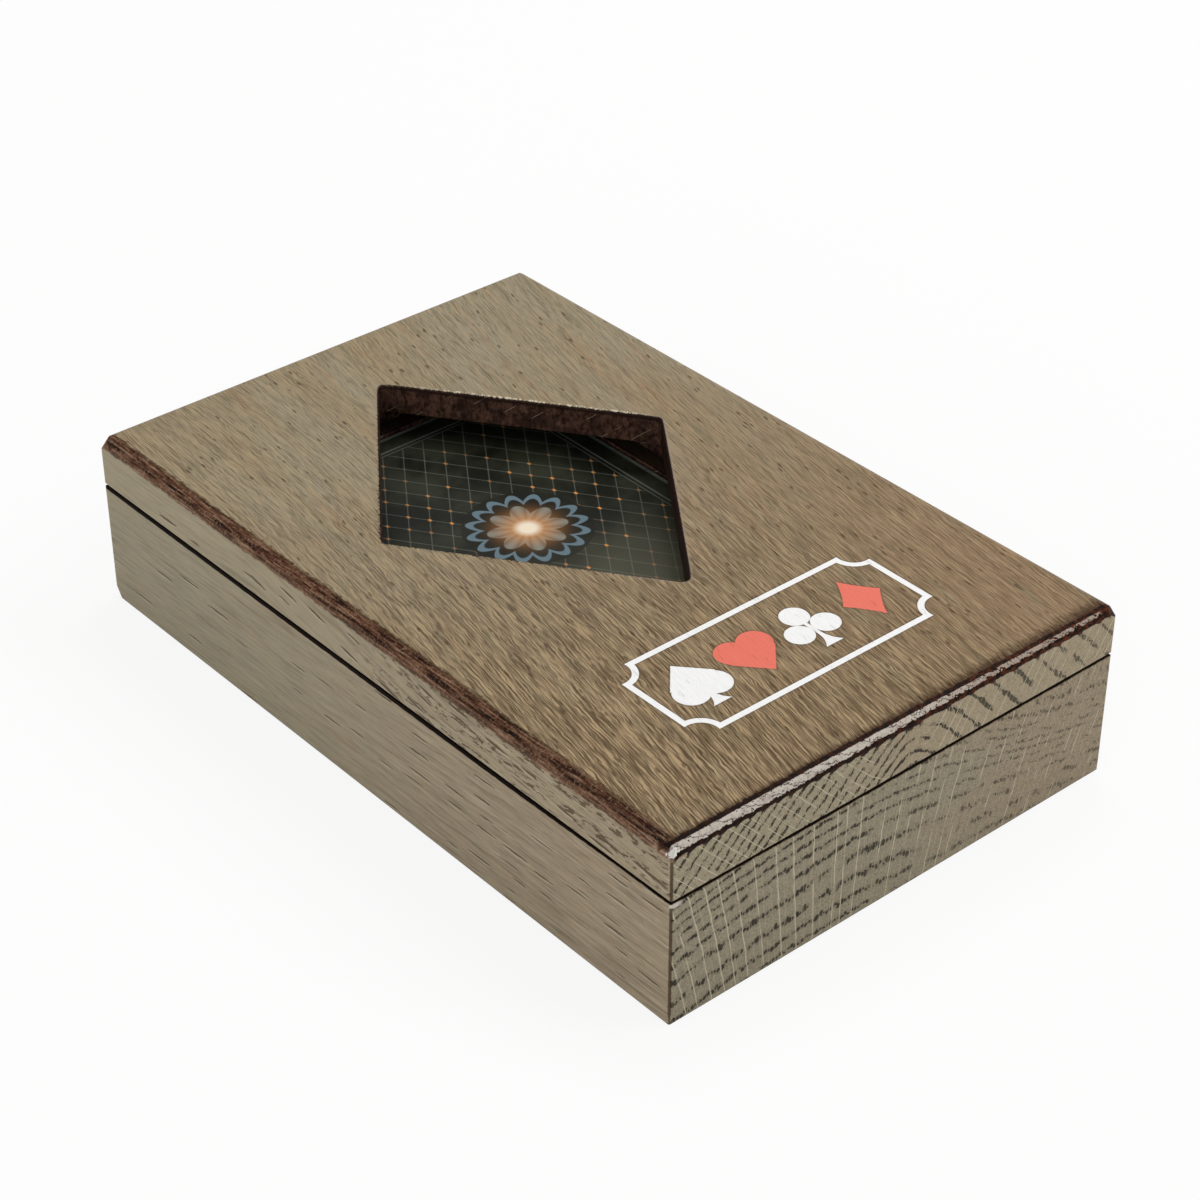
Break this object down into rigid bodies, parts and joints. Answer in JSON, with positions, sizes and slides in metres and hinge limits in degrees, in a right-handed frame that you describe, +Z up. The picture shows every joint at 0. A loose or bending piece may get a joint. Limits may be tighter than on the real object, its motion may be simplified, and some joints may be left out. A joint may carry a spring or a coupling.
{
  "type": "playing card box",
  "caption": "Flat rectangular box for a deck of playing cards, milled from solid oak, with a lift-off lid held by hidden magnets and a diamond-shaped window over the deck.",
  "frame": {"origin": "middle of the underside of the base", "axes": "+Z up; +Y along the box's length and the grain, away from the plain end of the lid; +X across the box"},
  "size_m": [0.106, 0.166, 0.037],
  "materials": {
    "oak_base": "grey-brown stained open-pored oak, oiled, satin",
    "oak_lid": "grey-brown stained open-pored oak, oiled, satin, darker at the rounded edges",
    "nickel_magnet": "nickel plated, satin",
    "card_stock": "coated card stock, white edges",
    "printed_card_back": "dark printed and varnished card back with a pale rim"
  },
  "bodies": {
    "base": {"base_block": "oak_base", "base_magnets": "nickel_magnet"},
    "lid": {"lid_panel": "oak_lid", "lid_magnets": "nickel_magnet"},
    "deck": {"card_spades_ace": "card_stock", "card_spades_02": "card_stock", "card_spades_03": "card_stock", "card_spades_04": "card_stock", "card_spades_05": "card_stock", "card_spades_06": "card_stock", "card_spades_07": "card_stock", "card_spades_08": "card_stock", "card_spades_09": "card_stock", "card_spades_10": "card_stock", "card_spades_jack": "card_stock", "card_spades_queen": "card_stock", "card_spades_king": "card_stock", "card_hearts_ace": "card_stock", "card_hearts_02": "card_stock", "card_hearts_03": "card_stock", "card_hearts_04": "card_stock", "card_hearts_05": "card_stock", "card_hearts_06": "card_stock", "card_hearts_07": "card_stock", "card_hearts_08": "card_stock", "card_hearts_09": "card_stock", "card_hearts_10": "card_stock", "card_hearts_jack": "card_stock", "card_hearts_queen": "card_stock", "card_hearts_king": "card_stock", "card_clubs_ace": "card_stock", "card_clubs_02": "card_stock", "card_clubs_03": "card_stock", "card_clubs_04": "card_stock", "card_clubs_05": "card_stock", "card_clubs_06": "card_stock", "card_clubs_07": "card_stock", "card_clubs_08": "card_stock", "card_clubs_09": "card_stock", "card_clubs_10": "card_stock", "card_clubs_jack": "card_stock", "card_clubs_queen": "card_stock", "card_clubs_king": "card_stock", "card_diamonds_ace": "card_stock", "card_diamonds_02": "card_stock", "card_diamonds_03": "card_stock", "card_diamonds_04": "card_stock", "card_diamonds_05": "card_stock", "card_diamonds_06": "card_stock", "card_diamonds_07": "card_stock", "card_diamonds_08": "card_stock", "card_diamonds_09": "card_stock", "card_diamonds_10": "card_stock", "card_diamonds_jack": "card_stock", "card_diamonds_queen": "card_stock", "card_diamonds_king": "card_stock", "card_joker_black": "card_stock", "card_joker_red": "printed_card_back"}
  },
  "joints": [
    {"name": "lid_lift", "type": "slide", "parent": "base", "child": "lid", "axis": [0, 0, 1], "range_m": [0, 0.09]},
    {"name": "deck_lift", "type": "slide", "parent": "base", "child": "deck", "axis": [0, 0, 1], "range_m": [0, 0.045]}
  ],
  "couplings": [
    {"joint": "deck_lift", "follows": "lid_lift", "ratio": 0.5}
  ]
}
